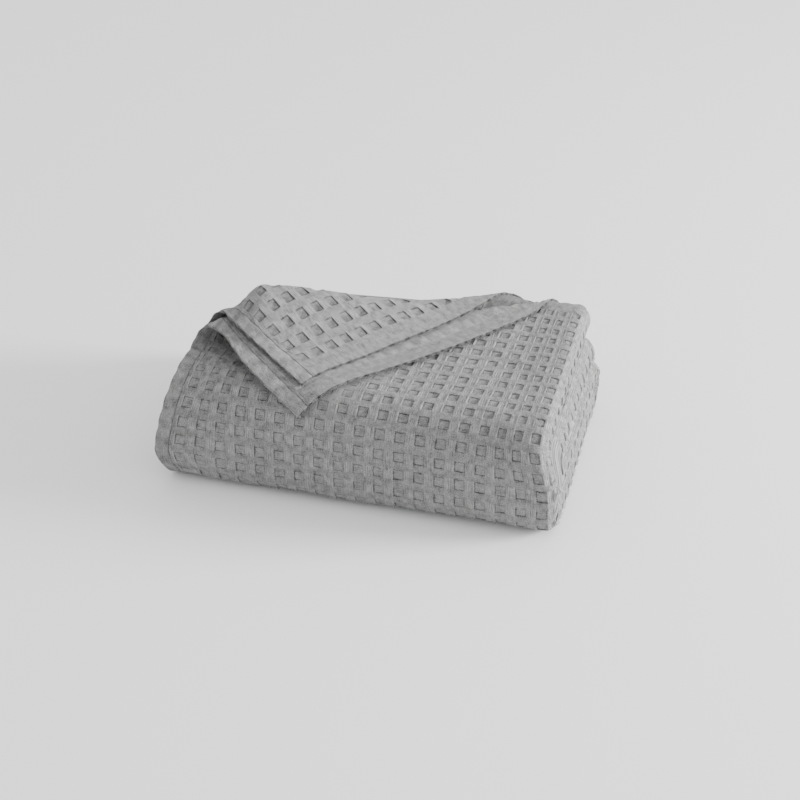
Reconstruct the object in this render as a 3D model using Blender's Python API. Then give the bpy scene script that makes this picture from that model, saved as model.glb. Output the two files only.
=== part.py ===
"""A waffle cotton blanket, folded into a bundle of 32 plies, with one corner of its two top plies turned back.

The blanket is one flat piece of cloth. It is cut into stations where it will bend, and then each of its
points is carried through the folds in the order in which hands make them.
The bundle lies with its long side along X, its closed book fold toward -Y and its four free hems at +Y.
"""

import bisect
import math
from collections import namedtuple

import bmesh
import bpy
from mathutils import Vector

# The cloth, flat on a table.
FLAT_WIDTH = 1.68
FLAT_LENGTH = 2.29
CLOTH = 0.0028
PLY = 0.0036
PLY_GAP = PLY - CLOTH

# The share of a folded stack's thickness that keeps its length as the stack goes round a bend.
NEUTRAL = 0.62

# Each fold halves the stack. Reach is how far a bend stands out, as a share of half its height,
# under and over are how round its lower and upper corners are, steps is how many flats go round it,
# and short is how far the free end stops before the edge below it.
Fold = namedtuple("Fold", "name axis plies reach under over steps short")
FOLDS = (
    Fold("width halved", 0, 1, 1.0, 1.0, 1.0, 3, 0.003),
    Fold("length halved", 1, 2, 1.0, 1.0, 1.0, 3, 0.006),
    Fold("width quartered", 0, 4, 1.0, 0.70, 0.70, 6, 0.004),
    Fold("length quartered", 1, 8, 0.8, 0.90, 0.90, 6, 0.004),
    Fold("closed as a book", 1, 16, 1.02, 0.52, 0.78, 8, 0.008),
)
STRAIGHT_STEP = 0.098
FREE_END = 0.012
NEAREST_CUTS = 0.004

# The turned back corner, measured from the corner along the side hem and along the end hem.
# Each ply turns in a roll of three radii: at its mouth over the side hem, where it is fullest,
# and at its end over the end hem. Dip is how steeply the ply comes down from its roll, rest is how
# high it then lies over its own lower side, in plies, and puff is how much higher it stands behind its mouth.
Turn = namedtuple("Turn", "ply side end mouth full slim dip rest puff")
TURNS = (
    Turn(0, 0.217, 0.383, 0.0101, 0.0158, 0.0036, math.radians(13.3), 1.0, 0.0),
    Turn(1, 0.217, 0.353, 0.0158, 0.0220, 0.0104, math.radians(14.6), 3.9, 0.0249),
)
ROLL_EASE = 0.030
LOOSE = 0.0013
LOOSE_RUN = 0.090
NEAREST_TURN = 0.0001

# Where along and across its line a roll is fullest, tapers and stands puffed up.
FULLEST = 0.108
TAPERED = 0.92
PUFF_FROM = 0.135
PUFF_FULL = 0.260
PUFF_FALL = 0.20
PUFF_TO = 0.734
PUFF_START = 0.020
PUFF_RISE = 0.055
PUFF_DROP = 0.05
PUFF_END = 0.14
TURN_STEPS = (0.0, 0.005, 0.011, 0.018, 0.026, 0.035, 0.045, 0.056, 0.068, 0.082, 0.098, 0.116, 0.136, 0.158)
ROLL_CUTS = (0.14, 0.27, 0.40, 0.55, 0.68, 0.81)

# How the soft bundle departs from a square one.
FRONT_SKEW = 0.010
LEFT_BELLY = 0.002
LEFT_FOOT_IN = 0.015
LEFT_TOP_IN = 0.025
RIGHT_TOP_IN = 0.012
RIGHT_BACK_IN = 0.009
BACK_LEFT_SINK = 0.083
BACK_LEFT_IN = 0.020
FRONT_LEFT_RISE = 0.040
SAG = 0.003

# Where those departures fade out, in shares of the bundle's width, depth and height.
SINK_WIDTH = 0.85
BACK_SINK_FROM = 0.58
FRONT_RISE_TO = 0.60
SKEW_TO = 0.70
LEFT_END = 0.25
RIGHT_END = 0.80
TOP_IN_FROM = 0.4
TOP_IN_FULL = 0.9
BELLY_TOP = 0.91
FOOT_TO = 0.35
FRONT_FLATS = 720

GREY = (0.33, 0.33, 0.325, 1.0)

Stack = namedtuple("Stack", "fold crease turn radius size")


def smooth_step(value, low, high):
    """0 below low, 1 above high, and a soft rise between them."""
    share = min(1.0, max(0.0, (value - low) / (high - low)))
    return share * share * (3 - 2 * share)


def plan_folds():
    """Where each fold's bend starts, how much cloth goes round it, and the size that it leaves."""
    size = [FLAT_WIDTH, FLAT_LENGTH]
    plan = []
    for fold in FOLDS:
        radius = fold.plies * PLY - PLY_GAP / 2
        turn = math.pi * NEUTRAL * fold.plies * PLY
        crease = (size[fold.axis] - turn + fold.short) / 2
        size[fold.axis] = crease + radius * fold.reach
        plan.append(Stack(fold, crease, turn, radius, size[fold.axis]))
    return plan


PLAN = plan_folds()
WIDTH = PLAN[2].size
BOOK_LENGTH = PLAN[3].size
DEPTH = PLAN[4].size
HEIGHT = 2 * PLAN[4].radius


def rounded(value, corner):
    """A sine or cosine pushed outward, which turns a half circle into a flatter faced bend."""
    return math.copysign(abs(value) ** corner, value)


def bend(point, stack):
    """Carries a point of the stack round its fold, if it lies past the crease."""
    axis = stack.fold.axis
    past = point[axis] - stack.crease
    if past <= 0:
        return point
    folded = list(point)
    radius = stack.radius - point[2]
    if past < stack.turn:
        angle = math.pi * past / stack.turn
        corner = stack.fold.under if angle < math.pi / 2 else stack.fold.over
        folded[axis] = stack.crease + radius * stack.fold.reach * rounded(math.sin(angle), corner)
        folded[2] = stack.radius - radius * rounded(math.cos(angle), corner)
    else:
        folded[axis] = stack.crease + stack.turn - past
        folded[2] = stack.radius + radius
    return folded


def roll_path(length, radius, turn):
    """Run, rise and slope of a ply that turns back over itself and eases down onto what lies below it."""
    over = math.pi + turn.dip
    arc = radius * over
    if length < arc:
        slope = length / radius
        return radius * math.sin(slope), radius * (1 - math.cos(slope)), slope
    run = -radius * math.sin(turn.dip)
    rise = radius * (1 + math.cos(turn.dip))
    ease_drop = ROLL_EASE * (1 - math.cos(turn.dip))
    fall = max(0.0, (rise - ease_drop - turn.rest * PLY) / math.sin(turn.dip))
    down = min(length - arc, fall)
    run -= down * math.cos(turn.dip)
    rise -= down * math.sin(turn.dip)
    left = length - arc - down
    if left <= 0:
        return run, rise, over
    eased = min(left, turn.dip * ROLL_EASE)
    slope = over - eased / ROLL_EASE
    run -= ROLL_EASE * (math.sin(turn.dip) - math.sin(slope - math.pi))
    rise -= ROLL_EASE * (math.cos(slope - math.pi) - math.cos(turn.dip))
    return run - (left - eased), rise, slope


def turn_line(turn):
    """The unit vector across the turn's line, toward the corner, and the corner's distance from the line."""
    across = math.hypot(turn.side, turn.end)
    return (-turn.side / across, -turn.end / across), turn.side * turn.end / across


def along_roll(turn, x, y):
    """How far a place on the cloth lies along its roll, from 0 at the side hem to 1 at the end hem."""
    along = x * turn.end + (turn.side - y) * turn.side
    return along / (turn.side**2 + turn.end**2)


def roll_radius(turn, share):
    swell = smooth_step(share, 0.0, FULLEST)
    taper = smooth_step(share, FULLEST, TAPERED)
    return turn.mouth + (turn.full - turn.mouth) * swell + (turn.slim - turn.full) * taper


def puff_of(turn, share, past):
    """How much higher the roll stands behind its mouth, where the hem no longer holds it down."""
    swell = smooth_step(share, PUFF_FROM, PUFF_FULL) * (1 - smooth_step(share, PUFF_FALL, PUFF_TO))
    across = smooth_step(past, PUFF_START, PUFF_RISE) * (1 - smooth_step(past, PUFF_DROP, PUFF_END))
    return turn.puff * swell * across


def turn_corner(point):
    """Rolls the corner of the two top plies outward, and says whether the point lies past its roll's line.

    Toward their rolls the plies lie looser on what is below.
    """
    ply = math.floor((point[2] + PLY_GAP / 2) / PLY)
    if ply > 1:
        return point, False
    turn = TURNS[ply]
    (across_x, across_y), corner = turn_line(turn)
    past = corner + across_x * point[0] + across_y * point[1]
    loose = LOOSE * (2 - ply) * smooth_step(past, -LOOSE_RUN, 0.0)
    if past <= 0:
        return [point[0], point[1], point[2] - loose], False
    middle = ply * PLY + CLOTH / 2 - loose
    outward = middle + loose - point[2]
    share = along_roll(turn, point[0], point[1])
    run, rise, slope = roll_path(past, roll_radius(turn, share), turn)
    shift = run - outward * math.sin(slope) - past
    height = middle - rise - outward * math.cos(slope) - puff_of(turn, share, past)
    return [point[0] + across_x * shift, point[1] + across_y * shift, height], True


def measure_front():
    """Angles round the closed front from its top edge down, and the length of cloth that reaches each."""
    book = PLAN[4]
    angles = [math.pi * step / FRONT_FLATS for step in range(FRONT_FLATS + 1)]
    lengths = [0.0]
    before = None
    for angle in angles:
        corner = book.fold.over if angle < math.pi / 2 else book.fold.under
        out = book.radius * book.fold.reach * rounded(math.sin(angle), corner)
        up = book.radius * rounded(math.cos(angle), corner)
        if before:
            lengths.append(lengths[-1] + math.hypot(out - before[0], up - before[1]))
        before = (out, up)
    return angles, lengths


FRONT_ANGLES, FRONT_LENGTHS = measure_front()


def close_book(point, turned):
    """Folds the strip of plies like a book. What is turned back drapes over the front by its own length."""
    book = PLAN[4]
    edge = book.crease + book.turn
    along = BOOK_LENGTH - point[1]
    if turned and along < edge:
        over_edge = edge - along
        step = min(FRONT_FLATS, bisect.bisect_left(FRONT_LENGTHS, over_edge))
        behind = FRONT_LENGTHS[step] - over_edge
        flat = FRONT_LENGTHS[step] - FRONT_LENGTHS[step - 1]
        angle = FRONT_ANGLES[step] - math.pi / FRONT_FLATS * max(0.0, behind) / flat
        along = book.crease + book.turn * (1 - angle / math.pi)
    return bend((point[0], along, point[2]), book)


def settle(point):
    """Places the square bundle in its frame and lets it lean and sink as soft cloth does."""
    x, y, z = point
    from_left = x / WIDTH
    from_front = 1 - y / DEPTH
    from_floor = min(1.0, max(0.0, z / HEIGHT))
    left = 1 - smooth_step(from_left, 0.0, SINK_WIDTH)
    back = smooth_step(from_front, BACK_SINK_FROM, 1.0)
    front = 1 - smooth_step(from_front, 0.0, FRONT_RISE_TO)
    sink = BACK_LEFT_SINK * left * back - FRONT_LEFT_RISE * left * front
    near_left = 1 - smooth_step(from_left, 0.0, LEFT_END)
    near_right = smooth_step(from_left, RIGHT_END, 1.0)
    belly = math.sin(math.pi * min(1.0, from_floor / BELLY_TOP))
    x -= near_left * (LEFT_BELLY * belly - LEFT_TOP_IN * from_floor)
    x += BACK_LEFT_IN * near_left * back
    x += LEFT_FOOT_IN * near_left * (1 - smooth_step(from_floor, 0.0, FOOT_TO))
    x -= RIGHT_TOP_IN * near_right * smooth_step(from_floor, TOP_IN_FROM, TOP_IN_FULL)
    x -= RIGHT_BACK_IN * near_right * smooth_step(from_front, 0.0, 1.0)
    sag = SAG * math.sin(math.pi * from_left) * math.sin(math.pi * min(1.0, max(0.0, from_front)))
    y += FRONT_SKEW * (2 * from_left - 1) * (1 - smooth_step(from_front, 0.0, SKEW_TO))
    z -= (sink + sag / HEIGHT) * min(z, HEIGHT)
    return Vector((x - WIDTH / 2, DEPTH / 2 - y, z))


def fold_cloth(point):
    """Takes a point of the flat cloth through every fold to its place in the bundle."""
    for stack in PLAN[:4]:
        point = bend(point, stack)
    point, turned = turn_corner(point)
    return settle(close_book(point, turned))


def steps_between(start, end, count):
    """Evenly spaced places from start to end, both included."""
    return [start + (end - start) * step / count for step in range(count + 1)]


def stations(axis):
    """Where the flat cloth is cut across one axis, so that stacked plies bend at the same places."""
    places = None
    for stack in reversed(PLAN):
        if stack.fold.axis != axis:
            continue
        end = stack.crease + stack.turn
        if places is None:
            count = round((stack.crease - FREE_END) / STRAIGHT_STEP)
            places = steps_between(FREE_END, stack.crease, count)
        around = steps_between(stack.crease, end, stack.fold.steps)
        straight = [place for place in places if place < stack.crease - NEAREST_CUTS]
        mirrored = [end + stack.crease - place for place in straight]
        places = sorted(straight + around + mirrored)
        if stack is PLAN[4]:
            places = sorted(BOOK_LENGTH - place for place in places)
    return places


def cut(mesh, faces, origin, normal):
    """Cuts some faces where a plane crosses them."""
    edges = {edge for face in faces for edge in face.edges}
    verts = {vert for face in faces for vert in face.verts}
    bmesh.ops.bisect_plane(
        mesh,
        geom=list(verts) + list(edges) + list(faces),
        dist=1e-6,
        plane_co=origin,
        plane_no=normal,
    )


def cut_stations(mesh):
    """Cuts the slab across its width and its length at every place where a fold bends it."""
    for axis, size in ((0, FLAT_WIDTH), (1, FLAT_LENGTH)):
        normal = [0.0, 0.0, 0.0]
        normal[axis] = 1.0
        for place in stations(axis):
            if NEAREST_CUTS < place < size - NEAREST_CUTS:
                origin = [0.0, 0.0, 0.0]
                origin[axis] = place
                cut(mesh, mesh.faces[:], origin, normal)


def cut_corner(mesh, turn, distance, normal):
    """Cuts the turned corner of a ply, across a normal and at a distance from that corner."""
    corner_x = 0.0 if turn.ply == 0 else FLAT_WIDTH
    facing = 1.0 if turn.ply == 0 else -1.0
    across, corner = turn_line(turn)
    turned = []
    for face in mesh.faces:
        past = [corner + across[0] * abs(vert.co.x - corner_x) + across[1] * vert.co.y for vert in face.verts]
        if max(past) > NEAREST_TURN:
            turned.append(face)
    origin = (corner_x + facing * normal[0] * distance, normal[1] * distance, 0.0)
    cut(mesh, turned, origin, (facing * normal[0], normal[1], 0.0))


def cut_turns(mesh):
    """Cuts the two turned corners along their rolls, and where they drape over the closed front."""
    book = PLAN[4]
    top = BOOK_LENGTH - book.crease - book.turn
    draped = range(0, book.fold.steps // 2 + 2)
    for turn in TURNS:
        across, corner = turn_line(turn)
        for step in TURN_STEPS:
            cut_corner(mesh, turn, step - corner, across)
        along = (-across[1], across[0])
        for share in ROLL_CUTS:
            cut_corner(mesh, turn, share * math.hypot(turn.side, turn.end) + turn.side * across[0], along)
        radius = roll_radius(turn, along_roll(turn, 0.0, 0.0))
        lost = roll_path(corner, radius, turn)[0] + corner
        turned = (-2 * across[0] * across[1], 1 - 2 * across[1] * across[1])
        for step in draped:
            from_hem = top + FRONT_LENGTHS[step * FRONT_FLATS // book.fold.steps]
            cut_corner(mesh, turn, from_hem + across[1] * (2 * corner - lost), turned)


def split_alike(mesh):
    """Splits each four sided face along the diagonal that leans one way, so that stacked plies stay apart."""
    for face in mesh.faces[:]:
        if len(face.verts) != 4:
            continue
        first, second, third, fourth = face.verts
        one = third.co - first.co
        other = fourth.co - second.co
        if one.x * (one.y - one.z) > other.x * (other.y - other.z):
            bmesh.utils.face_split(face, first, third)
        else:
            bmesh.utils.face_split(face, second, fourth)
    bmesh.ops.triangulate(mesh, faces=mesh.faces[:])


def centre_over_origin(mesh):
    """Moves the folded cloth so that the middle of its box is over the origin."""
    for axis in (0, 1):
        places = [vert.co[axis] for vert in mesh.verts]
        middle = (min(places) + max(places)) / 2
        for vert in mesh.verts:
            vert.co[axis] -= middle


def make_material():
    material = bpy.data.materials.new("grey cotton")
    material.use_nodes = True
    surface = material.node_tree.nodes["Principled BSDF"]
    surface.inputs["Base Color"].default_value = GREY
    surface.inputs["Roughness"].default_value = 0.9
    surface.inputs["Metallic"].default_value = 0.0
    return material


def make_blanket(collection):
    mesh = bmesh.new()
    bmesh.ops.create_cube(mesh, size=1.0)
    bmesh.ops.translate(mesh, verts=mesh.verts, vec=(0.5, 0.5, 0.5))
    bmesh.ops.scale(mesh, verts=mesh.verts, vec=(FLAT_WIDTH, FLAT_LENGTH, CLOTH))
    cut_stations(mesh)
    cut_turns(mesh)
    for vert in mesh.verts:
        vert.co = fold_cloth(tuple(vert.co))
    centre_over_origin(mesh)
    split_alike(mesh)
    data = bpy.data.meshes.new("blanket")
    mesh.to_mesh(data)
    mesh.free()
    data.materials.append(make_material())
    blanket = bpy.data.objects.new("blanket", data)
    collection.objects.link(blanket)
    return blanket


def main():
    for thing in list(bpy.data.objects):
        bpy.data.objects.remove(thing, do_unlink=True)
    collection = bpy.data.collections.new("folded blanket")
    bpy.context.scene.collection.children.link(collection)
    make_blanket(collection)


main()
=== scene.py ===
"""The folded waffle cotton blanket, with its relief, hems, stitches and weave.

The cloth has the same size and takes the same folds as the part, and its relief is worked into it while
it is flat. Its fine threads, stitches and colour come from one procedural material.
"""

import math
from collections import namedtuple

import bpy
import numpy as np
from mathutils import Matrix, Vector


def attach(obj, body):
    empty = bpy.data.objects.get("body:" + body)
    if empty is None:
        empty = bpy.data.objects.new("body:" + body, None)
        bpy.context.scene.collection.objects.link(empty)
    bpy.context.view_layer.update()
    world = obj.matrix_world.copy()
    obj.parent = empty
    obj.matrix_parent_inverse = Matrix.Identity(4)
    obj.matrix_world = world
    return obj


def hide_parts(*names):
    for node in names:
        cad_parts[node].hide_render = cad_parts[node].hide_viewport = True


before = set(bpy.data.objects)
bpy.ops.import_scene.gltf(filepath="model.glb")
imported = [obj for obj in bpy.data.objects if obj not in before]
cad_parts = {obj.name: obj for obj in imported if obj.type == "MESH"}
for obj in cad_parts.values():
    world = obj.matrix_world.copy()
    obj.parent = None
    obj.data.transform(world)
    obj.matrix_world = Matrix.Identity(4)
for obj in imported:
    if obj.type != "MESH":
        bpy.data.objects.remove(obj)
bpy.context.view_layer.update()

# The cloth, flat on a table, as in the part.
FLAT_WIDTH = 1.68
FLAT_LENGTH = 2.29
CLOTH = 0.0028
PLY = 0.0036
PLY_GAP = PLY - CLOTH
NEUTRAL = 0.62

# The part's five folds, with rounder bends at the right end.
Fold = namedtuple("Fold", "name axis plies reach under over steps short")
FOLDS = (
    Fold("width halved", 0, 1, 1.0, 1.0, 1.0, 5, 0.003),
    Fold("length halved", 1, 2, 1.0, 1.0, 1.0, 5, 0.006),
    Fold("width quartered", 0, 4, 1.0, 0.92, 0.92, 8, 0.004),
    Fold("length quartered", 1, 8, 0.8, 0.90, 0.90, 10, 0.004),
    Fold("closed as a book", 1, 16, 1.02, 0.52, 0.78, 12, 0.008),
)
STRAIGHT_STEP = 0.084

# The part's turned back corner, with its upper ply lying a little closer to the lower one.
Turn = namedtuple("Turn", "ply side end mouth full slim dip rest puff")
TURNS = (
    Turn(0, 0.217, 0.383, 0.0101, 0.0158, 0.0036, math.radians(13.3), 1.0, 0.0),
    Turn(1, 0.217, 0.353, 0.0158, 0.0220, 0.0104, math.radians(14.6), 3.5, 0.0249),
)
ROLL_EASE = 0.030
LOOSE = 0.0013
LOOSE_RUN = 0.090
FULLEST = 0.108
TAPERED = 0.92
PUFF_FROM = 0.135
PUFF_FULL = 0.260
PUFF_FALL = 0.20
PUFF_TO = 0.734
PUFF_START = 0.020
PUFF_RISE = 0.055
PUFF_DROP = 0.05
PUFF_END = 0.14

# How the part's soft bundle departs from a square one, and where those departures fade out.
FRONT_SKEW = 0.010
LEFT_BELLY = 0.002
LEFT_FOOT_IN = 0.015
LEFT_TOP_IN = 0.025
RIGHT_TOP_IN = 0.012
RIGHT_BACK_IN = 0.009
BACK_LEFT_SINK = 0.083
BACK_LEFT_IN = 0.020
FRONT_LEFT_RISE = 0.040
SAG = 0.003
SINK_WIDTH = 0.85
BACK_SINK_FROM = 0.58
FRONT_RISE_TO = 0.60
SKEW_TO = 0.70
LEFT_END = 0.25
RIGHT_END = 0.80
TOP_IN_FROM = 0.4
TOP_IN_FULL = 0.9
BELLY_TOP = 0.91
FOOT_TO = 0.35
FRONT_FLATS = 720
TO_MIDDLE = (-0.003545, 0.004669)

# The hems, where the waffle's count starts inside them, and its repeats from one hem to the other.
SIDE_HEM = 0.018
END_HEM = 0.0215
SIDE_COUNT_FROM = 0.0155
LEFT_SQUEEZE = 0.012
END_COUNT_FROM = 0.0162
COLUMNS = 80
ROWS = 111
RIM = 0.0014
SCALLOP = 0.0009
SIDE_SCALLOP = 0.6 * SCALLOP
SCALLOP_RUN = 0.006

# The stitches' distances from the edges, how deep they pull the cloth in, and how much the hems swell.
SIDE_STITCH = 0.0157
INNER_STITCH = 0.0192
END_STITCH = END_HEM - 0.0015
SIDE_FURROW = 0.0006
INNER_FURROW = 0.0003
END_FURROW = 0.0004
SIDE_PUCKERS = 0.0007
SWELL = 0.00022

# One repeat of the waffle, in shares of a repeat. Its square recess is in the middle.
SQUARE_WIDE = 0.50
SQUARE_TALL = 0.52
RIDGE_OFF = 0.31
COLUMN_CUTS = (0.0, 0.14, 0.19, 0.23, 0.27, 0.32, 0.68, 0.73, 0.77, 0.81, 0.86)
ROW_CUTS = (0.0, 0.14, 0.205, 0.245, 0.285, 0.34, 0.66, 0.715, 0.755, 0.795, 0.86)
ROUGH_CUTS = (0.0, 0.32, 0.34, 0.66, 0.68)
RIDGE_WIDE = 0.036
RIBS = 9

# How unevenly it is woven, in shares of a repeat: each square's slant, place and size, a slow wander of the
# whole weave, and the drift of the front's rows along the columns.
SLANT = 0.10
STRAY = 0.02
SIZE_STRAY = 0.08
WANDER = 0.018
DRIFT_COLUMNS = (0.0, 1.0, 5.0, 11.0)
DRIFT_ROWS = (-0.35, -0.35, 0.30, 0.0)

# The waffle's heights and depths.
SQUARE_DEPTH = 0.0007
GROOVE = 0.0006
RIDGE = 0.0009
BAND_RISE = 0.0002
RIB_SINK = 0.0003
BACK_BUMP = 0.0006
BACK_SINK = 0.0007
TOP_RIDGES = 0.4
LAST_TOP_ROW = 14
END_RELIEF = 0.9

# The cuts along the cloth's edges in metres, and across its hems in shares of their width.
EDGE_CUTS = (0.0, 0.0004, 0.0016)
HEM_CUTS = (0.18, 0.36, 0.54, 0.70, 0.80, 0.86, 0.92)
PLACED_CLOSE = 0.0001
BLOCKS_CLOSE = 0.003

# Where the waffle is cut finely: the outside of the bundle, its right end, and what shows of the turned
# corner. The first four are counts of repeats, and the others are distances from the edges and lines.
LAST_TOP_COLUMN = 21
RIGHT_COLUMNS = (18, 21)
LAST_FRONT_ROW = 18
FIRST_FAR_COLUMN = 63
HALF_ROWS = 56
FIRST_SHOWN_SIDE = 0.045
FIRST_SHOWN_END = 0.045
HIDDEN_FROM = 0.030
NEAR_LINE = 0.02
PAST_LINE = 0.015

GREY = (0.20, 0.20, 0.198)

# The main creases on the flat cloth: both ends, how far each bows, its half width and its
# height. A trough's height is below 0. The last three are on the upper turned corner.
Crease = namedtuple("Crease", "x y to_x to_y bow wide high")
CREASES = (
    Crease(0.020, 0.318, 0.185, 0.330, 0.006, 0.007, 0.0011),
    Crease(0.100, 0.352, 0.300, 0.341, -0.005, 0.008, -0.0006),
    Crease(0.150, 0.302, 0.262, 0.322, 0.004, 0.006, 0.0010),
    Crease(0.250, 0.372, 0.405, 0.360, 0.004, 0.009, 0.0009),
    Crease(0.285, 0.306, 0.410, 0.318, -0.004, 0.007, -0.0006),
    Crease(0.262, 0.214, 0.398, 0.250, 0.008, 0.008, 0.0012),
    Crease(0.318, 0.110, 0.412, 0.158, -0.006, 0.007, 0.0010),
    Crease(0.340, 0.040, 0.372, 0.205, 0.007, 0.010, -0.0006),
    Crease(0.005, 0.352, 0.060, 0.392, 0.004, 0.007, 0.0012),
    Crease(FLAT_WIDTH - 0.022, 0.205, FLAT_WIDTH - 0.100, 0.130, 0.006, 0.007, 0.0013),
    Crease(FLAT_WIDTH - 0.048, 0.262, FLAT_WIDTH - 0.012, 0.120, -0.005, 0.006, 0.0009),
    Crease(FLAT_WIDTH - 0.120, 0.060, FLAT_WIDTH - 0.172, 0.010, 0.003, 0.006, 0.0011),
)

Stack = namedtuple("Stack", "fold crease turn radius size")


def smooth_step(value, low, high):
    """0 below low, 1 above high, and a soft rise between them."""
    share = np.clip((value - low) / (high - low), 0.0, 1.0)
    return share * share * (3 - 2 * share)


def plan_folds():
    """Where each fold's bend starts, how much cloth goes round it, and the size that it leaves."""
    size = [FLAT_WIDTH, FLAT_LENGTH]
    plan = []
    for fold in FOLDS:
        radius = fold.plies * PLY - PLY_GAP / 2
        turn = math.pi * NEUTRAL * fold.plies * PLY
        crease = (size[fold.axis] - turn + fold.short) / 2
        size[fold.axis] = crease + radius * fold.reach
        plan.append(Stack(fold, crease, turn, radius, size[fold.axis]))
    return plan


PLAN = plan_folds()
WIDTH = PLAN[2].size
BOOK_LENGTH = PLAN[3].size
DEPTH = PLAN[4].size
HEIGHT = 2 * PLAN[4].radius


def rounded(value, corner):
    """A sine or cosine pushed outward, which turns a half circle into a flatter faced bend."""
    return np.copysign(np.abs(value) ** corner, value)


def bend(points, stack):
    """Carries the points of the stack that lie past its crease round its fold."""
    axis = stack.fold.axis
    past = points[:, axis] - stack.crease
    radius = stack.radius - points[:, 2]
    angle = math.pi * np.clip(past / stack.turn, 0.0, 1.0)
    corner = np.where(angle < math.pi / 2, stack.fold.under, stack.fold.over)
    around = (past > 0) & (past < stack.turn)
    beyond = past >= stack.turn
    out = stack.crease + radius * stack.fold.reach * rounded(np.sin(angle), corner)
    up = stack.radius - radius * rounded(np.cos(angle), corner)
    folded = points.copy()
    folded[around, axis] = out[around]
    folded[around, 2] = up[around]
    folded[beyond, axis] = stack.crease + stack.turn - past[beyond]
    folded[beyond, 2] = stack.radius + radius[beyond]
    return folded


def roll_path(length, radius, turn):
    """Run, rise and slope of a ply that turns back over itself and eases down onto what lies below it."""
    over = math.pi + turn.dip
    arc = radius * over
    ease_drop = ROLL_EASE * (1 - math.cos(turn.dip))
    top = radius * (1 + math.cos(turn.dip))
    fall = np.maximum(0.0, (top - ease_drop - turn.rest * PLY) / math.sin(turn.dip))
    down = np.clip(length - arc, 0.0, fall)
    left = np.maximum(0.0, length - arc - down)
    eased = np.minimum(left, turn.dip * ROLL_EASE)
    slope = np.where(length < arc, length / radius, over - eased / ROLL_EASE)
    run = -radius * math.sin(turn.dip) - down * math.cos(turn.dip) - (left - eased)
    run -= ROLL_EASE * (math.sin(turn.dip) - np.sin(slope - math.pi)) * (left > 0)
    rise = top - down * math.sin(turn.dip)
    rise -= ROLL_EASE * (np.cos(slope - math.pi) - math.cos(turn.dip)) * (left > 0)
    on_roll = length < arc
    run = np.where(on_roll, radius * np.sin(slope), run)
    rise = np.where(on_roll, radius * (1 - np.cos(slope)), rise)
    return run, rise, slope


def turn_line(turn):
    """The unit vector across the turn's line, toward the corner, and the corner's distance from the line."""
    across = math.hypot(turn.side, turn.end)
    return (-turn.side / across, -turn.end / across), turn.side * turn.end / across


def along_roll(turn, x, y):
    """How far a place on the cloth lies along its roll, from 0 at the side hem to 1 at the end hem."""
    along = x * turn.end + (turn.side - y) * turn.side
    return along / (turn.side**2 + turn.end**2)


def roll_radius(turn, share):
    swell = smooth_step(share, 0.0, FULLEST)
    taper = smooth_step(share, FULLEST, TAPERED)
    return turn.mouth + (turn.full - turn.mouth) * swell + (turn.slim - turn.full) * taper


def puff_of(turn, share, past):
    """How much higher the roll stands behind its mouth, where the hem no longer holds it down."""
    swell = smooth_step(share, PUFF_FROM, PUFF_FULL) * (1 - smooth_step(share, PUFF_FALL, PUFF_TO))
    across = smooth_step(past, PUFF_START, PUFF_RISE) * (1 - smooth_step(past, PUFF_DROP, PUFF_END))
    return turn.puff * swell * across


def past_turn(turn, x, y):
    """How far a place on a turned ply lies past the line that it turns along."""
    across, corner = turn_line(turn)
    return corner + across[0] * x + across[1] * y


def turn_corner(points, ply):
    """Rolls the corner of the two top plies outward, and says which points lie past their roll's line.

    Toward their rolls the plies lie looser on what is below.
    """
    moved = points.copy()
    turned = np.zeros(len(points), dtype=bool)
    for turn in TURNS:
        x, y, z = points.T
        across = turn_line(turn)[0]
        past = past_turn(turn, x, y)
        loose = LOOSE * (2 - turn.ply) * smooth_step(past, -LOOSE_RUN, 0.0)
        middle = turn.ply * PLY + CLOTH / 2 - loose
        outward = middle + loose - z
        share = along_roll(turn, x, y)
        run, rise, slope = roll_path(past, roll_radius(turn, share), turn)
        shift = run - outward * np.sin(slope) - past
        height = middle - rise - outward * np.cos(slope) - puff_of(turn, share, past)
        flat = (ply == turn.ply) & (past <= 0)
        rolled = (ply == turn.ply) & (past > 0)
        moved[flat, 2] = (z - loose)[flat]
        moved[rolled, 0] = (x + across[0] * shift)[rolled]
        moved[rolled, 1] = (y + across[1] * shift)[rolled]
        moved[rolled, 2] = height[rolled]
        turned |= rolled
    return moved, turned


def measure_front():
    """Angles round the closed front from its top edge down, and the length of cloth that reaches each."""
    book = PLAN[4]
    angles = np.linspace(0.0, math.pi, FRONT_FLATS + 1)
    corner = np.where(angles < math.pi / 2, book.fold.over, book.fold.under)
    out = book.fold.reach * rounded(np.sin(angles), corner)
    up = rounded(np.cos(angles), corner)
    steps = np.hypot(np.diff(out), np.diff(up)) * book.radius
    return angles, np.concatenate(([0.0], np.cumsum(steps)))


FRONT_ANGLES, FRONT_LENGTHS = measure_front()


def close_book(points, turned):
    """Folds the strip of plies like a book. What is turned back drapes over the front by its own length."""
    book = PLAN[4]
    points = points.copy()
    points[:, 1] = BOOK_LENGTH - points[:, 1]
    over_edge = book.crease + book.turn - points[:, 1]
    angle = np.interp(over_edge, FRONT_LENGTHS, FRONT_ANGLES)
    draped = turned & (over_edge > 0)
    points[draped, 1] = book.crease + book.turn * (1 - angle[draped] / math.pi)
    return bend(points, book)


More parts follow.
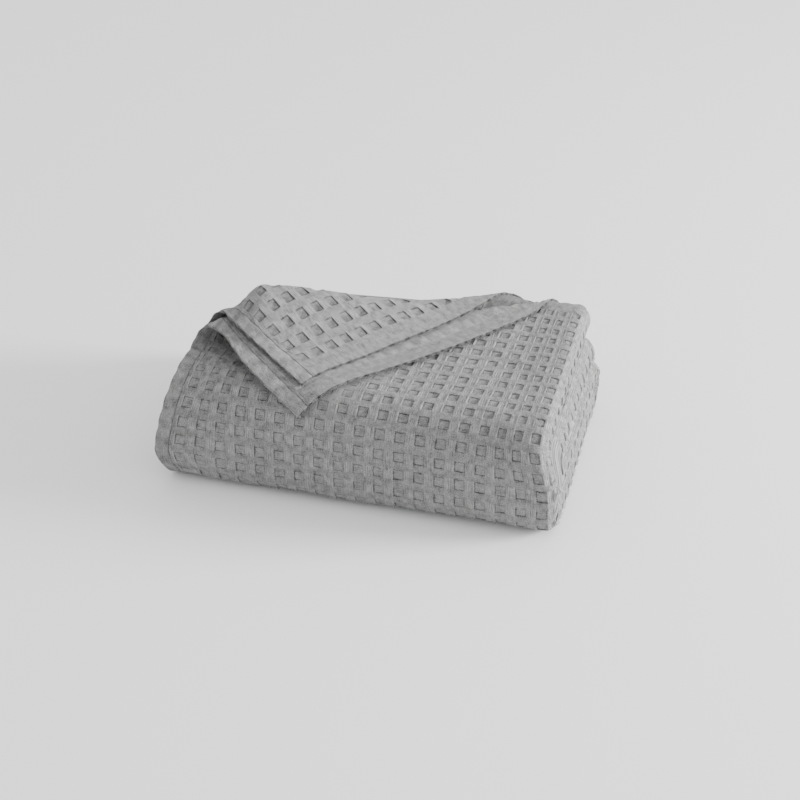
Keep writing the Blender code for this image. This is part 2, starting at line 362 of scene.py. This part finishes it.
def settle(points):
    """Places the square bundle in its frame and lets it lean and sink as soft cloth does."""
    x, y, z = points.T
    from_left = x / WIDTH
    from_front = 1 - y / DEPTH
    from_floor = np.clip(z / HEIGHT, 0.0, 1.0)
    left = 1 - smooth_step(from_left, 0.0, SINK_WIDTH)
    back = smooth_step(from_front, BACK_SINK_FROM, 1.0)
    front = 1 - smooth_step(from_front, 0.0, FRONT_RISE_TO)
    sink = BACK_LEFT_SINK * left * back - FRONT_LEFT_RISE * left * front
    near_left = 1 - smooth_step(from_left, 0.0, LEFT_END)
    near_right = smooth_step(from_left, RIGHT_END, 1.0)
    belly = np.sin(math.pi * np.minimum(1.0, from_floor / BELLY_TOP))
    x = x - near_left * (LEFT_BELLY * belly - LEFT_TOP_IN * from_floor)
    x = x + BACK_LEFT_IN * near_left * back
    x = x + LEFT_FOOT_IN * near_left * (1 - smooth_step(from_floor, 0.0, FOOT_TO))
    x = x - RIGHT_TOP_IN * near_right * smooth_step(from_floor, TOP_IN_FROM, TOP_IN_FULL)
    x = x - RIGHT_BACK_IN * near_right * smooth_step(from_front, 0.0, 1.0)
    sag = SAG * np.sin(math.pi * from_left) * np.sin(math.pi * np.clip(from_front, 0.0, 1.0))
    y = y + FRONT_SKEW * (2 * from_left - 1) * (1 - smooth_step(from_front, 0.0, SKEW_TO))
    z = np.maximum(0.0, z - (sink + sag / HEIGHT) * np.minimum(z, HEIGHT))
    return np.stack((x - WIDTH / 2 + TO_MIDDLE[0], DEPTH / 2 - y + TO_MIDDLE[1], z), axis=1)


def fold_cloth(points):
    """Takes the points of the flat cloth through every fold to their places in the bundle."""
    middles = points.copy()
    middles[:, 2] = CLOTH / 2
    for stack in PLAN[:4]:
        points = bend(points, stack)
        middles = bend(middles, stack)
    points, turned = turn_corner(points, np.floor(middles[:, 2] / PLY))
    return settle(close_book(points, turned))


def lengths_along(axis, places):
    """The real length of the outermost cloth from one edge to each place, round the outside of the bends."""
    flat = np.zeros((len(places), 3))
    flat[:, 0] = flat[:, 1] = 0.1
    flat[:, axis] = places
    for stack in PLAN[:4]:
        flat = bend(flat, stack)
    folded = close_book(flat, np.zeros(len(flat), dtype=bool))
    steps = np.linalg.norm(np.diff(folded, axis=0), axis=1)
    lengths = np.concatenate(([0.0], np.cumsum(steps)))
    if axis == 0:
        lengths -= LEFT_SQUEEZE * smooth_step(places / WIDTH, 0.0, LEFT_END)
    return lengths


def measure(axis, size, first, count):
    """Fine places across the cloth and the waffle's count at each, 0 at its first place from the edge."""
    places = np.linspace(0.0, size, int(size / 0.0005) + 1)
    lengths = lengths_along(axis, places)
    repeat = (lengths[-1] - 2 * first) / count
    return places, (lengths - first) / repeat, repeat


COLUMN_PLACES, COLUMN_COUNTS, COLUMN_REPEAT = measure(0, FLAT_WIDTH, SIDE_COUNT_FROM, COLUMNS)
ROW_PLACES, ROW_COUNTS, ROW_REPEAT = measure(1, FLAT_LENGTH, END_COUNT_FROM, ROWS)


def column_of(x):
    return np.interp(x, COLUMN_PLACES, COLUMN_COUNTS)


def row_of(y):
    return np.interp(y, ROW_PLACES, ROW_COUNTS)


def bend_places(axis):
    """Every place across one axis where the flat cloth starts, rounds or ends a bend, and some between."""
    places = []
    for stack in reversed(PLAN):
        if stack.fold.axis != axis:
            continue
        end = stack.crease + stack.turn
        if not places:
            count = round(stack.crease / STRAIGHT_STEP)
            places = list(np.linspace(0.0, stack.crease, count + 1))
        around = list(np.linspace(stack.crease, end, stack.fold.steps + 1))
        straight = [place for place in places if place < stack.crease - 0.001]
        places = straight + around + [end + stack.crease - place for place in straight]
        if stack is PLAN[4]:
            places = [BOOK_LENGTH - place for place in places]
        places = sorted(places)
    return places


def repeat_places(places, counts, first, last, cuts):
    """The places of the waffle's cuts from one repeat to another."""
    wanted = [repeat + cut for repeat in range(first, last) for cut in cuts] + [last]
    return list(np.interp(wanted, counts, places))


def join_places(wanted, others, size, nearest):
    """The wanted places, and the others that aren't too near to one of them."""
    joined = [place for place in wanted if 0 <= place <= size]
    for place in others:
        if 0 <= place <= size and min(abs(place - kept) for kept in joined) > nearest:
            joined.append(place)
    return sorted(joined)


def edge_places(size, hem):
    """The places that round an edge off and hold its hem, at both ends of the cloth."""
    near = list(EDGE_CUTS) + [cut * hem for cut in HEM_CUTS] + [hem]
    return near + [size - place for place in near]


def lay_out(axis, size, hem, counted, coarse, fine, cuts):
    """Block edges and all cuts across one axis. Blocks are whole repeats where the waffle is cut finely."""
    places, counts = counted
    edges = [0.0, EDGE_CUTS[1], EDGE_CUTS[2]]
    edges += [size - place for place in edges]
    inner = []
    for first, last in fine:
        edges += repeat_places(places, counts, first, last, (0.0,))
        inner += repeat_places(places, counts, first, last, cuts)
    edges = join_places(sorted(set(edges)), coarse, size, BLOCKS_CLOSE)
    return edges, join_places(edges, inner + edge_places(size, hem), size, PLACED_CLOSE)


def uneven(column, row, seed):
    """A number from -1 to 1 for each whole repeat."""
    table = np.random.default_rng(seed).uniform(-1.0, 1.0, (COLUMNS + 8, ROWS + 8))
    across = np.clip(np.floor(column).astype(int) + 4, 0, COLUMNS + 7)
    along = np.clip(np.floor(row).astype(int) + 4, 0, ROWS + 7)
    return table[across, along]


def waver(column, row, seed):
    """A slow swell over the cloth, about -1 to 1."""
    waves = np.random.default_rng(seed).normal(size=(6, 3))
    total = 0.0
    for across, along, phase in waves:
        total = total + np.sin(0.9 * across * column + 0.9 * along * row + 3 * phase)
    return total / 3


def in_repeat(column, row):
    """Where a place lies within its repeat, from -0.5 to 0.5 both ways."""
    return column - np.floor(column) - 0.5, row - np.floor(row) - 0.5


def stray(column, row):
    """How far the weave strays sideways and lengthways from an even grid, in repeats."""
    across, along = in_repeat(column, row)
    inside = (np.cos(math.pi * across) * np.cos(math.pi * along)) ** 2
    slant = SLANT * (1 + uneven(column, row, 4))
    sideways = SIZE_STRAY * uneven(column, row, 5) * across - slant * along + STRAY * uneven(column, row, 6)
    lengthways = SIZE_STRAY * uneven(column, row, 7) * along + STRAY * uneven(column, row, 8)
    on_front = smooth_step(row, 9, 13) * (1 - smooth_step(row, 19, 24))
    drift = np.interp(column, DRIFT_COLUMNS, DRIFT_ROWS) * on_front
    return (
        inside * sideways + WANDER * waver(column, row, 9),
        inside * lengthways + WANDER * waver(column, row, 10) + drift,
    )


def hump(value, middle, wide):
    """1 at the middle, falling off softly on both sides."""
    return np.exp(-(((value - middle) / wide) ** 2))


def face_relief(column, row):
    """The height of the waffle on the cloth's face: square recesses with a ridge at each side of them."""
    across, along = in_repeat(column, row)
    from_side = SQUARE_WIDE / 2 - np.abs(across)
    from_end = SQUARE_TALL / 2 - np.abs(along)
    inside = smooth_step(from_side, -0.02, 0.045) * smooth_step(from_end, -0.02, 0.05)
    floor = SQUARE_DEPTH * (1 + 0.25 * uneven(column, row, 1))
    groove = GROOVE * hump(np.minimum(from_side, from_end), 0.02, 0.025)
    beside = 1 - smooth_step(np.abs(along), 0.26, 0.40)
    beside = beside * (TOP_RIDGES + (1 - TOP_RIDGES) * smooth_step(row, LAST_TOP_ROW - 2, LAST_TOP_ROW))
    left = hump(across, -RIDGE_OFF, RIDGE_WIDE) * (1 + 0.5 * uneven(column, row, 2))
    right = hump(across, RIDGE_OFF, RIDGE_WIDE) * (0.55 + 0.4 * uneven(column, row, 3))
    ribs = (1 - smooth_step(np.abs(along), 0.24, 0.32)) * smooth_step(np.abs(across), 0.33, 0.38)
    band = smooth_step(np.abs(along), 0.27, 0.36) * BAND_RISE
    relief = band + RIDGE * beside * (left + right) - RIB_SINK * ribs - floor * inside - groove * inside
    end = smooth_step(column, RIGHT_COLUMNS[0], RIGHT_COLUMNS[0] + 1.5) * (column < LAST_TOP_COLUMN + 1)
    return relief * (1 + END_RELIEF * end)


def reverse_relief(column, row):
    """The height on the cloth's reverse, where the face's squares stand out as soft bumps."""
    across, along = in_repeat(column, row)
    bump = hump(across, 0.0, 0.30) * hump(along, 0.0, 0.20) * (1 + 0.3 * uneven(column, row, 11))
    sunk = hump(np.abs(along), 0.5, 0.14) * (0.6 + 0.4 * hump(np.abs(across), 0.5, 0.2))
    return BACK_BUMP * bump - BACK_SINK * sunk


def hem_relief(column, row, from_side, from_end):
    """The soft unevenness of the hems, and the furrows of their stitches."""
    puckers = SIDE_PUCKERS * np.cos(2 * math.pi * row + waver(column, row, 12)) * (from_side < SIDE_HEM)
    puckers = puckers + SWELL * waver(2.5 * column, 2.5 * row, 13)
    furrows = SIDE_FURROW * hump(from_side, SIDE_STITCH, 0.0009)
    furrows = furrows + INNER_FURROW * hump(from_side, INNER_STITCH, 0.0007)
    furrows = np.maximum(furrows, END_FURROW * hump(from_end, END_STITCH, 0.0010))
    return puckers - furrows


def crease_height(x, y):
    """How far the creases lift the flat cloth at a place, toward its face."""
    total = np.zeros_like(x)
    for crease in CREASES:
        run = (crease.to_x - crease.x, crease.to_y - crease.y)
        length = math.hypot(*run)
        share = np.clip(((x - crease.x) * run[0] + (y - crease.y) * run[1]) / length**2, 0.0, 1.0)
        off = ((x - crease.x) * run[1] - (y - crease.y) * run[0]) / length
        bow = crease.bow * 4 * share * (1 - share)
        total += crease.high * np.sin(math.pi * share) * hump(off, bow, crease.wide)
    return total


def make_points(x, y, reverse):
    """Places points of the flat cloth on its face or its reverse, with their relief and rounded edges."""
    from_side = np.minimum(x, FLAT_WIDTH - x)
    from_end = np.minimum(y, FLAT_LENGTH - y)
    column = column_of(x)
    row = row_of(y)
    past_side = smooth_step(from_side, SIDE_HEM - 0.003, SIDE_HEM + 0.001)
    past_end = smooth_step(from_end, END_HEM - 0.0015, END_HEM + 0.0015)
    waffle = past_end * (0.15 + 0.85 * past_side)
    waffle = waffle * (0.7 + 0.3 * smooth_step(from_side, 0.030, 0.040))
    relief = reverse_relief(column, row) if reverse else face_relief(column, row)
    relief = relief * waffle + hem_relief(column, row, from_side, from_end)
    past_edge = np.clip(1 - np.minimum(from_side, from_end) / RIM, 0.0, 1.0)
    round_off = np.sqrt(1 - past_edge * past_edge)
    half = (CLOTH / 2 + relief) * round_off
    depth = CLOTH / 2 + (half if reverse else -half) - crease_height(x, y)
    sideways, lengthways = stray(column, row)
    sideways = sideways * COLUMN_REPEAT * past_side * past_end
    lengthways = lengthways * ROW_REPEAT * past_side * past_end
    near_side = 1 - smooth_step(from_side, 0.0, SCALLOP_RUN)
    near_end = 1 - smooth_step(from_end, 0.0, SCALLOP_RUN)
    side_edge = SIDE_SCALLOP * np.cos(2 * math.pi * row) * near_side
    end_edge = SCALLOP * np.cos(2 * math.pi * column) * near_end
    return np.stack((x + sideways + side_edge, y + lengthways + end_edge, depth), axis=1)


def fineness(x, y, reverse):
    """How finely a block is cut: 2 where its waffle shows, 1 where it only has to bend smoothly, else 0."""
    column = column_of(x)
    row = row_of(y)
    past_first = past_turn(TURNS[0], x, y)
    past_second = past_turn(TURNS[1], FLAT_WIDTH - x, y)
    turned = past_first > -NEAR_LINE or past_second > -NEAR_LINE
    if reverse:
        shown = past_first > -NEAR_LINE and (x < FIRST_SHOWN_SIDE or y < FIRST_SHOWN_END)
        return 2 if shown else int(turned)
    across, _ = turn_line(TURNS[0])
    under = (x - 2 * past_first * across[0], y - 2 * past_first * across[1])
    hidden = past_turn(TURNS[0], *under) > 0 and min(under) > HIDDEN_FROM
    top = column < LAST_TOP_COLUMN and row < LAST_FRONT_ROW and past_first < PAST_LINE and not hidden
    right = RIGHT_COLUMNS[0] < column < RIGHT_COLUMNS[1] and row < HALF_ROWS
    return 2 if top or right or past_second > -NEAR_LINE else int(turned)


def block_faces(column_edges, row_edges, rough, fine):
    """Faces of one side of the cloth, as rows of cut numbers. Each takes in the cuts of a finer neighbour.

    The edges are the cut numbers where blocks meet. Rough says, for both ways, which cuts a rough block has.
    Fine is how fine each block is, with a border of values for the cloth's own edges.
    """

    def cuts(axis, start, end, level):
        if level == 2:
            return list(range(start, end))
        return [start] + [cut for cut in range(start + 1, end) if level == 1 and rough[axis][cut]]

    faces = []
    for i, (c0, c1) in enumerate(zip(column_edges[:-1], column_edges[1:])):
        for j, (r0, r1) in enumerate(zip(row_edges[:-1], row_edges[1:])):
            own = fine[i + 1, j + 1]
            before, after = max(own, fine[i, j + 1]), max(own, fine[i + 2, j + 1])
            below, above = max(own, fine[i + 1, j]), max(own, fine[i + 1, j + 2])
            columns = cuts(0, c0, c1, own) + [c1]
            rows = cuts(1, r0, r1, own) + [r1]
            for ca, cb in zip(columns[:-1], columns[1:]):
                for ra, rb in zip(rows[:-1], rows[1:]):
                    low = cuts(0, ca, cb, below if ra == r0 else own)
                    high = cuts(0, ca, cb, above if rb == r1 else own)[1:] + [cb]
                    near = cuts(1, ra, rb, before if ca == c0 else own)[1:] + [rb]
                    far = cuts(1, ra, rb, after if cb == c1 else own)
                    face = [(c, ra) for c in low] + [(cb, r) for r in far]
                    face += [(c, rb) for c in reversed(high)] + [(ca, r) for r in reversed(near)]
                    faces.append(face)
    return faces


def is_rough(counts):
    """Which cuts are among the few that a rough block has."""
    share = counts - np.floor(counts)
    return [min(abs(value - cut) for cut in ROUGH_CUTS) < 0.004 for value in share]


def middles(blocks):
    """The middle of each block."""
    blocks = np.array(blocks)
    return (blocks[1:] + blocks[:-1]) / 2


def number_faces(columns, rows, column_blocks, row_blocks):
    """The faces of both sides of the cloth, as point numbers.

    The points of the reverse are numbered after those of the face, and both share the points of the rim.
    """
    column_edges = np.searchsorted(columns, np.array(column_blocks) - 1e-7)
    row_edges = np.searchsorted(rows, np.array(row_blocks) - 1e-7)
    across = middles(column_blocks)
    along = middles(row_blocks)
    fine = [np.array([[fineness(x, y, reverse) for y in along] for x in across]) for reverse in (False, True)]
    rim_fine = np.pad(np.maximum(fine[0], fine[1]), 1, mode="edge")
    rough = (is_rough(column_of(np.array(columns))), is_rough(row_of(np.array(rows))))
    last_column = len(columns) - 1
    last_row = len(rows) - 1
    faces = []
    for reverse in (False, True):
        bordered = rim_fine.copy()
        bordered[1:-1, 1:-1] = fine[reverse]
        for face in block_faces(column_edges, row_edges, rough, bordered):
            numbers = []
            for c, r in face:
                on_rim = c in (0, last_column) or r in (0, last_row)
                on_reverse = reverse and not on_rim
                numbers.append(c * len(rows) + r + on_reverse * len(columns) * len(rows))
            if not reverse:
                numbers.reverse()
            faces.append(numbers)
    return faces


def make_cloth():
    """The whole cloth as one closed thin mesh, cut finely where its waffle shows."""
    column_blocks, columns = lay_out(
        0, FLAT_WIDTH, SIDE_HEM, (COLUMN_PLACES, COLUMN_COUNTS), bend_places(0),
        ((0, LAST_TOP_COLUMN), (FIRST_FAR_COLUMN, COLUMNS)), COLUMN_CUTS,
    )
    row_blocks, rows = lay_out(
        1, FLAT_LENGTH, END_HEM, (ROW_PLACES, ROW_COUNTS), bend_places(1),
        ((0, HALF_ROWS),), ROW_CUTS,
    )
    faces = number_faces(columns, rows, column_blocks, row_blocks)
    grid_x, grid_y = np.meshgrid(columns, rows, indexing="ij")
    sides = [make_points(grid_x.ravel(), grid_y.ravel(), reverse) for reverse in (False, True)]
    flat = np.concatenate(sides)
    used = np.unique(np.concatenate([np.array(face) for face in faces]))
    renumber = np.full(len(flat), -1)
    renumber[used] = np.arange(len(used))
    faces = [renumber[face].tolist() for face in faces]
    mesh = bpy.data.meshes.new("blanket_cloth")
    mesh.from_pydata(fold_cloth(flat[used]).tolist(), [], faces)
    mesh.polygons.foreach_set("use_smooth", [True] * len(mesh.polygons))
    write_maps(mesh, flat[used], used >= grid_x.size)
    mesh.update()
    cloth = bpy.data.objects.new("blanket_cloth", mesh)
    bpy.context.scene.collection.objects.link(cloth)
    return cloth


def write_map(mesh, name, across, along):
    """Writes one flat map of two numbers for each point."""
    corners = np.empty(len(mesh.loops), dtype=np.int64)
    mesh.loops.foreach_get("vertex_index", corners)
    layer = mesh.uv_layers.new(name=name)
    layer.data.foreach_set("uv", np.stack((across[corners], along[corners]), axis=1).ravel())


def write_maps(mesh, flat, reverse):
    """The waffle's count, the distances from the edges, and each point's side and depth in the cloth."""
    x, y, depth = flat.T
    write_map(mesh, "weave", column_of(x), row_of(y))
    write_map(mesh, "edges", np.minimum(x, FLAT_WIDTH - x), np.minimum(y, FLAT_LENGTH - y))
    write_map(mesh, "side", reverse.astype(float), depth)


def make_camera():
    """Places the camera where the photograph was taken from."""
    data = bpy.data.cameras.new("camera")
    data.sensor_width = 36.0
    data.lens = 102.08
    data.shift_x = -0.0091
    data.shift_y = -0.0194
    camera = bpy.data.objects.new("camera", data)
    camera.location = (0.5369, -1.9941, 1.1816)
    looking = Vector((-0.22005, 0.85272, -0.47376))
    camera.rotation_euler = looking.to_track_quat("-Z", "Y").to_euler()
    bpy.context.scene.collection.objects.link(camera)
    bpy.context.scene.camera = camera


def add_light(name, place, size, power):
    data = bpy.data.lights.new(name, "AREA")
    data.size = size
    data.energy = power
    light = bpy.data.objects.new(name, data)
    light.location = place
    light.rotation_euler = (Vector((0, 0, 0.05)) - Vector(place)).to_track_quat("-Z", "Y").to_euler()
    bpy.context.scene.collection.objects.link(light)


def make_studio():
    """A pale floor, an even white room and a soft light at the right."""
    world = bpy.data.worlds.new("studio")
    world.use_nodes = True
    world.node_tree.nodes["Background"].inputs["Color"].default_value = (1, 1, 1, 1)
    world.node_tree.nodes["Background"].inputs["Strength"].default_value = 1.38
    bpy.context.scene.world = world
    add_light("right light", (2.8, 0.6, 0.68), 0.9, 232)
    mesh = bpy.data.meshes.new("floor")
    reach = 8.0
    corners = [(-reach, -reach, 0), (reach, -reach, 0), (reach, reach, 0), (-reach, reach, 0)]
    mesh.from_pydata(corners, [], [(0, 1, 2, 3)])
    floor = bpy.data.objects.new("floor", mesh)
    paint = bpy.data.materials.new("pale floor")
    paint.use_nodes = True
    paint.node_tree.nodes["Principled BSDF"].inputs["Base Color"].default_value = (0.93, 0.93, 0.93, 1)
    paint.node_tree.nodes["Principled BSDF"].inputs["Roughness"].default_value = 0.9
    mesh.materials.append(paint)
    floor.location.z = -0.0002
    bpy.context.scene.collection.objects.link(floor)


def maths(tree, operation, *values):
    """A math node and its result."""
    node = tree.nodes.new("ShaderNodeMath")
    node.operation = operation
    for socket, value in zip(node.inputs, values):
        if isinstance(value, (int, float)):
            socket.default_value = value
        else:
            tree.links.new(value, socket)
    return node.outputs["Value"]


def soft_rise(tree, value, low, high):
    """0 below low, 1 above high, and a soft rise between them."""
    node = tree.nodes.new("ShaderNodeMapRange")
    node.interpolation_type = "SMOOTHSTEP"
    tree.links.new(value, node.inputs["Value"])
    node.inputs["From Min"].default_value = low
    node.inputs["From Max"].default_value = high
    return node.outputs["Result"]


def read_map(tree, name):
    node = tree.nodes.new("ShaderNodeUVMap")
    node.uv_map = name
    split = tree.nodes.new("ShaderNodeSeparateXYZ")
    tree.links.new(node.outputs["UV"], split.inputs["Vector"])
    return split.outputs["X"], split.outputs["Y"]


def noise(tree, column, row, across, along, detail):
    """Noise with its own number of grains across and along a repeat, from 0 to 1."""
    join = tree.nodes.new("ShaderNodeCombineXYZ")
    tree.links.new(maths(tree, "MULTIPLY", column, across), join.inputs["X"])
    tree.links.new(maths(tree, "MULTIPLY", row, along), join.inputs["Y"])
    node = tree.nodes.new("ShaderNodeTexNoise")
    node.noise_dimensions = "2D"
    node.inputs["Scale"].default_value = 1.0
    node.inputs["Detail"].default_value = detail
    tree.links.new(join.outputs["Vector"], node.inputs["Vector"])
    return node.outputs["Fac"]


def off_middle(tree, count):
    """How far a place lies from the middle of its repeat, from -0.5 to 0.5."""
    return maths(tree, "SUBTRACT", maths(tree, "FRACT", count), 0.5)


def weighed(tree, *pairs):
    """The sum of some values, each times its own weight."""
    total = None
    for value, weight in pairs:
        part = maths(tree, "MULTIPLY", value, weight)
        total = part if total is None else maths(tree, "ADD", total, part)
    return total


def both(tree, first, second):
    return maths(tree, "MULTIPLY", first, second)


def opposite(tree, value):
    return maths(tree, "SUBTRACT", 1.0, value)


def stripe(tree, value, middle, wide):
    """1 where the value is at the middle, fading to 0 at the width on both sides."""
    off = maths(tree, "ABSOLUTE", maths(tree, "SUBTRACT", value, middle))
    return opposite(tree, soft_rise(tree, off, 0.0, wide))


def wave(tree, count, waves):
    """A number from -1 to 1 that rises and falls a given number of times in each repeat."""
    return maths(tree, "SINE", maths(tree, "MULTIPLY", count, 2 * math.pi * waves))


Weave = namedtuple("Weave", "column row from_side from_end face across along in_waffle in_square")
Yarn = namedtuple("Yarn", "fuzz patches broad threads")


def read_weave(tree):
    """Where a place lies on the cloth: its repeat, its hems, its side, and whether it is in a square."""
    column, row = read_map(tree, "weave")
    from_side, from_end = read_map(tree, "edges")
    reverse, _ = read_map(tree, "side")
    across = off_middle(tree, column)
    along = off_middle(tree, row)
    in_waffle = both(
        tree,
        soft_rise(tree, from_end, END_HEM - 0.001, END_HEM + 0.001),
        soft_rise(tree, from_side, SIDE_HEM - 0.002, SIDE_HEM + 0.002),
    )
    in_square = both(tree, soft_rise(tree, inside_square(tree, across, along), -0.01, 0.03), in_waffle)
    face = opposite(tree, reverse)
    return Weave(column, row, from_side, from_end, face, across, along, in_waffle, in_square)


def inside_square(tree, across, along):
    """How far a place lies inside its square, in shares of a repeat, and below 0 outside it."""
    from_side = maths(tree, "SUBTRACT", SQUARE_WIDE / 2, maths(tree, "ABSOLUTE", across))
    from_end = maths(tree, "SUBTRACT", SQUARE_TALL / 2, maths(tree, "ABSOLUTE", along))
    return maths(tree, "MINIMUM", from_side, from_end)


def read_ribs(tree, weave):
    """Where the upright ribs run, between one square and the next."""
    beside = soft_rise(tree, maths(tree, "ABSOLUTE", weave.across), 0.34, 0.38)
    level = opposite(tree, soft_rise(tree, maths(tree, "ABSOLUTE", weave.along), 0.24, 0.30))
    return both(tree, both(tree, beside, level), weave.in_waffle)


def read_yarn(tree, weave, ribs):
    """The cotton's fuzz, its patches, its broad unevenness and its threads."""
    warp = noise(tree, weave.column, weave.row, 21.0, 2.2, 2.0)
    weft = noise(tree, weave.column, weave.row, 2.5, 19.0, 2.0)
    fuzz = noise(tree, weave.column, weave.row, 20.0, 20.0, 4.0)
    patches = noise(tree, weave.column, weave.row, 3.0, 3.0, 3.0)
    broad = noise(tree, weave.column, weave.row, 0.35, 0.35, 3.0)
    threads = weighed(
        tree,
        (both(tree, warp, opposite(tree, weave.in_square)), 1.0),
        (both(tree, weft, weave.in_square), 0.7),
        (both(tree, warp, ribs), 0.8),
    )
    return Yarn(fuzz, patches, broad, threads)


def painted_crevice_shade(tree, weave):
    """Painted shade: the dark line round each square where its crevice lies, weaker at its right."""
    line = stripe(tree, inside_square(tree, weave.across, weave.along), 0.012, 0.045)
    weaker = both(tree, soft_rise(tree, weave.across, 0.08, 0.24), 0.45)
    line = both(tree, line, opposite(tree, weaker))
    return both(tree, both(tree, line, weave.in_waffle), weave.face)


def painted_ridge_highlights(tree, weave):
    """Painted highlights that make the tops of the ridges lighter, most of all at the left of each square."""
    # Painted highlight on the ridge tops, stronger at the left of each square.
    ridge = stripe(tree, maths(tree, "ABSOLUTE", weave.across), RIDGE_OFF, 0.05)
    level = opposite(tree, soft_rise(tree, maths(tree, "ABSOLUTE", weave.along), 0.27, 0.40))
    ridge = both(tree, both(tree, ridge, level), weave.in_waffle)
    left = both(tree, ridge, opposite(tree, soft_rise(tree, weave.across, -0.05, 0.05)))
    return (ridge, 0.22), (left, 0.22)


def painted_square_light_and_shade(tree, weave):
    """The floors of the squares, with painted light and shade: a little lighter on the whole, darker on the
    far columns where the turned corner shows, and a painted shadow at one side of each square, there and on
    top.
    """
    # Painted light on the squares' floors, and painted shade on the turned corner's floors and at one side of
    # each square.
    floor = both(tree, weave.in_square, weave.face)
    far_corner_painted_shade = both(tree, floor, soft_rise(tree, weave.column, 62.0, 63.0))
    toward_end = weighed(tree, (weave.along, -1.0), (weave.across, -0.5))
    far_shadow = both(tree, far_corner_painted_shade, soft_rise(tree, toward_end, -0.16, 0.14))
    on_top = opposite(tree, soft_rise(tree, weave.row, LAST_TOP_ROW - 1.5, LAST_TOP_ROW))
    on_top = both(tree, both(tree, floor, on_top), opposite(tree, far_corner_painted_shade))
    toward_right = weighed(tree, (weave.across, 1.0), (weave.along, 0.3))
    top_shadow = both(tree, on_top, soft_rise(tree, toward_right, -0.14, 0.14))
    return (floor, 0.19), (far_corner_painted_shade, -0.10), (far_shadow, -0.40), (top_shadow, -0.30)


def stitches_and_painted_edge_shade(tree, weave, yarn):
    """The stitch lines, painted shadow in beaded dark lines along the cloth's edges, and the light and dark
    of the side hems.
    """
    shade_beads = weighed(
        tree, (wave(tree, weave.column, 2), 0.20), (yarn.fuzz, 0.5),
        (maths(tree, "ADD", yarn.patches, 0.5), 0.6),
    )
    # Painted shadow along the cloth's end and side edges, beaded unevenly.
    end_edge = opposite(tree, soft_rise(tree, weave.from_end, 0.0008, 0.0018))
    side_edge = opposite(tree, soft_rise(tree, weave.from_side, 0.0005, 0.0015))
    on_side_hem = opposite(tree, soft_rise(tree, weave.from_side, 0.0135, 0.0160))
    waves = both(tree, wave(tree, weave.row, 1), on_side_hem)
    return (
        (stripe(tree, weave.from_side, SIDE_STITCH, 0.0009), -0.45),
        (stripe(tree, weave.from_side, INNER_STITCH, 0.0007), -0.25),
        (both(tree, end_edge, shade_beads), -0.80),
        (both(tree, side_edge, shade_beads), -0.55),
        (both(tree, waves, maths(tree, "ADD", yarn.broad, 0.3)), 0.16),
    )


def painted_right_end_groove_shade(tree, weave, yarn):
    """Painted shade: the dark, uneven line in the groove where one bend of the right end meets the next."""
    fold_end = float(column_of(PLAN[2].crease + PLAN[2].turn))
    off_fold = maths(tree, "ABSOLUTE", maths(tree, "SUBTRACT", weave.column, fold_end))
    # Painted shade along the groove, beaded unevenly.
    groove_shade = both(tree, opposite(tree, soft_rise(tree, off_fold, 0.10, 0.55)), weave.face)
    shade_beads = weighed(
        tree, (wave(tree, weave.row, 1), 0.25), (maths(tree, "ADD", yarn.patches, 0.3), 0.9)
    )
    return ((both(tree, groove_shade, shade_beads), -0.85),)


def shade_yarn(tree, yarn):
    """The uneven colour of the yarn, from its fuzz to its broad patches."""
    weights = ((yarn.fuzz, 1.90), (yarn.threads, 0.85), (yarn.patches, 1.15), (yarn.broad, 0.25))
    return tuple((maths(tree, "SUBTRACT", value, 0.5), weight) for value, weight in weights)


def make_cotton():
    """Grey waffle cotton: ribs of thread, fuzz, stitches and faint unevenness of colour, with painted shade
    in the crevice round each square, along the edges and in the right end's groove, and painted light on the
    ridges and the square floors.
    """
    material = bpy.data.materials.new("grey cotton")
    material.use_nodes = True
    tree = material.node_tree
    surface = tree.nodes["Principled BSDF"]
    surface.inputs["Roughness"].default_value = 0.95
    surface.inputs["Sheen Weight"].default_value = 0.20
    surface.inputs["Sheen Roughness"].default_value = 0.5
    surface.inputs["Specular IOR Level"].default_value = 0.15
    weave = read_weave(tree)
    ribs = read_ribs(tree, weave)
    yarn = read_yarn(tree, weave, ribs)
    # The crevice lines make a groove in the bump, and painted shade in the colour.
    crevice_groove_and_shade = painted_crevice_shade(tree, weave)
    ridged = both(tree, wave(tree, weave.column, RIBS), ribs)
    side_stitch = stripe(tree, weave.from_side, SIDE_STITCH, 0.0009)
    height = weighed(
        tree, (yarn.threads, 0.9), (yarn.fuzz, 1.3), (yarn.patches, 1.6), (crevice_groove_and_shade, -0.7),
        (side_stitch, -0.8), (ridged, 0.35),
    )
    bump = tree.nodes.new("ShaderNodeBump")
    bump.inputs["Strength"].default_value = 0.8
    bump.inputs["Distance"].default_value = 0.0011
    tree.links.new(height, bump.inputs["Height"])
    tree.links.new(bump.outputs["Normal"], surface.inputs["Normal"])
    # The colour: the yarn's own unevenness and the stitches, with painted shade and painted light.
    shade = weighed(
        tree,
        # Painted shade in the crevices round the squares.
        (crevice_groove_and_shade, -0.58),
        (ribs, -0.06),
        (ridged, 0.15),
        *painted_ridge_highlights(tree, weave),
        *painted_square_light_and_shade(tree, weave),
        *stitches_and_painted_edge_shade(tree, weave, yarn),
        *painted_right_end_groove_shade(tree, weave, yarn),
        *shade_yarn(tree, yarn),
    )
    colour = tree.nodes.new("ShaderNodeVectorMath")
    colour.operation = "SCALE"
    colour.inputs[0].default_value = GREY
    tree.links.new(maths(tree, "ADD", shade, 1.0), colour.inputs["Scale"])
    tree.links.new(colour.outputs["Vector"], surface.inputs["Base Color"])
    return material


def main():
    cloth = make_cloth()
    cloth.data.materials.append(make_cotton())
    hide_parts("blanket")
    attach(cloth, "root")
    make_studio()
    make_camera()


main()
